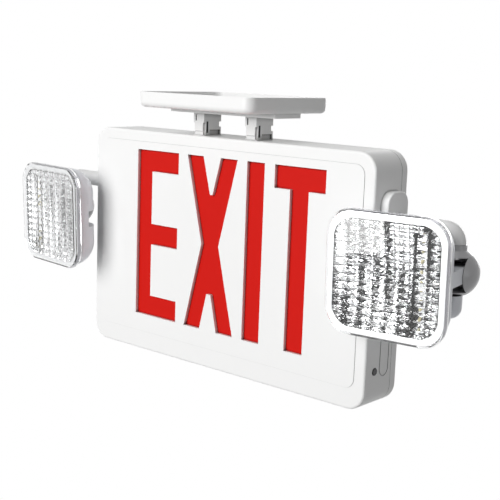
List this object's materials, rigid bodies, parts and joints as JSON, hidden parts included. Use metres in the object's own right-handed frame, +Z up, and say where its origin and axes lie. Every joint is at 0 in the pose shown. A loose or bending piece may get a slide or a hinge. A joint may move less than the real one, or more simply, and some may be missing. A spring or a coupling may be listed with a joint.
{
  "type": "emergency exit light",
  "caption": "Ceiling-hung emergency exit sign with red stencilled legend, a tray canopy on two legs, and two swivelling lamp heads on bent side arms.",
  "frame": {"origin": "middle of the canopy's rim, where it meets the ceiling", "axes": "+Z up, +Y into the sign from its lettered face, +X to the reader's right"},
  "size_m": [0.48, 0.1032, 0.2398],
  "materials": {
    "white_plastic": "satin",
    "red_plastic": "satin",
    "circuit_board": "satin",
    "steel": "satin",
    "battery_wrap": "satin",
    "black_plastic": "satin",
    "indicator_lens": "glossy",
    "clear_plastic": "glossy",
    "chromed_plastic": "polished"
  },
  "bodies": {
    "root": {"front_cover": "white_plastic", "back_plate": "white_plastic", "canopy": "white_plastic", "canopy_bracket": "white_plastic", "red_diffuser": "red_plastic", "top_led_strip": "circuit_board", "bottom_led_strip": "circuit_board", "control_board": "circuit_board", "transformer": "steel", "battery_pack": "battery_wrap", "battery_strap": "steel", "test_switch": "black_plastic", "charge_indicator": "indicator_lens", "right_arm": "white_plastic", "right_arm_screws": "steel", "right_swivel_pin": "steel", "left_arm": "white_plastic", "left_arm_screws": "steel", "left_swivel_pin": "steel"},
    "right_knuckle_body": {"right_knuckle": "white_plastic", "right_knuckle_cap": "white_plastic", "right_tilt_pin": "steel"},
    "right_head_body": {"right_tongue": "white_plastic", "right_lamp_case": "white_plastic", "right_lens": "clear_plastic", "right_reflector": "chromed_plastic", "right_lamp_board": "circuit_board"},
    "left_knuckle_body": {"left_knuckle": "white_plastic", "left_knuckle_cap": "white_plastic", "left_tilt_pin": "steel"},
    "left_head_body": {"left_tongue": "white_plastic", "left_lamp_case": "white_plastic", "left_lens": "clear_plastic", "left_reflector": "chromed_plastic", "left_lamp_board": "circuit_board"},
    "button_body": {"test_button": "black_plastic"}
  },
  "joints": [
    {"name": "right_swivel", "type": "hinge", "parent": "root", "child": "right_knuckle_body", "pos_m": [0.21765, 0.0092, -0.1202], "axis": [0, 0, 1], "range_deg": [0, 83]},
    {"name": "right_tilt", "type": "hinge", "parent": "right_knuckle_body", "child": "right_head_body", "pos_m": [0.21765, 0.0092, -0.1202], "axis": [0.9925, 0.1219, 0], "range_deg": [-7, 8]},
    {"name": "left_swivel", "type": "hinge", "parent": "root", "child": "left_knuckle_body", "pos_m": [-0.21765, 0.0092, -0.1202], "axis": [0, 0, -1], "range_deg": [0, 83]},
    {"name": "left_tilt", "type": "hinge", "parent": "left_knuckle_body", "child": "left_head_body", "pos_m": [-0.21765, 0.0092, -0.1202], "axis": [0.9925, -0.1219, 0], "range_deg": [-7, 8]},
    {"name": "button_press", "type": "slide", "parent": "root", "child": "button_body", "axis": [-1, 0, 0], "range_m": [0, 0.0012], "stiffness_N_per_m": 400, "springref_m": -0.0004}
  ]
}
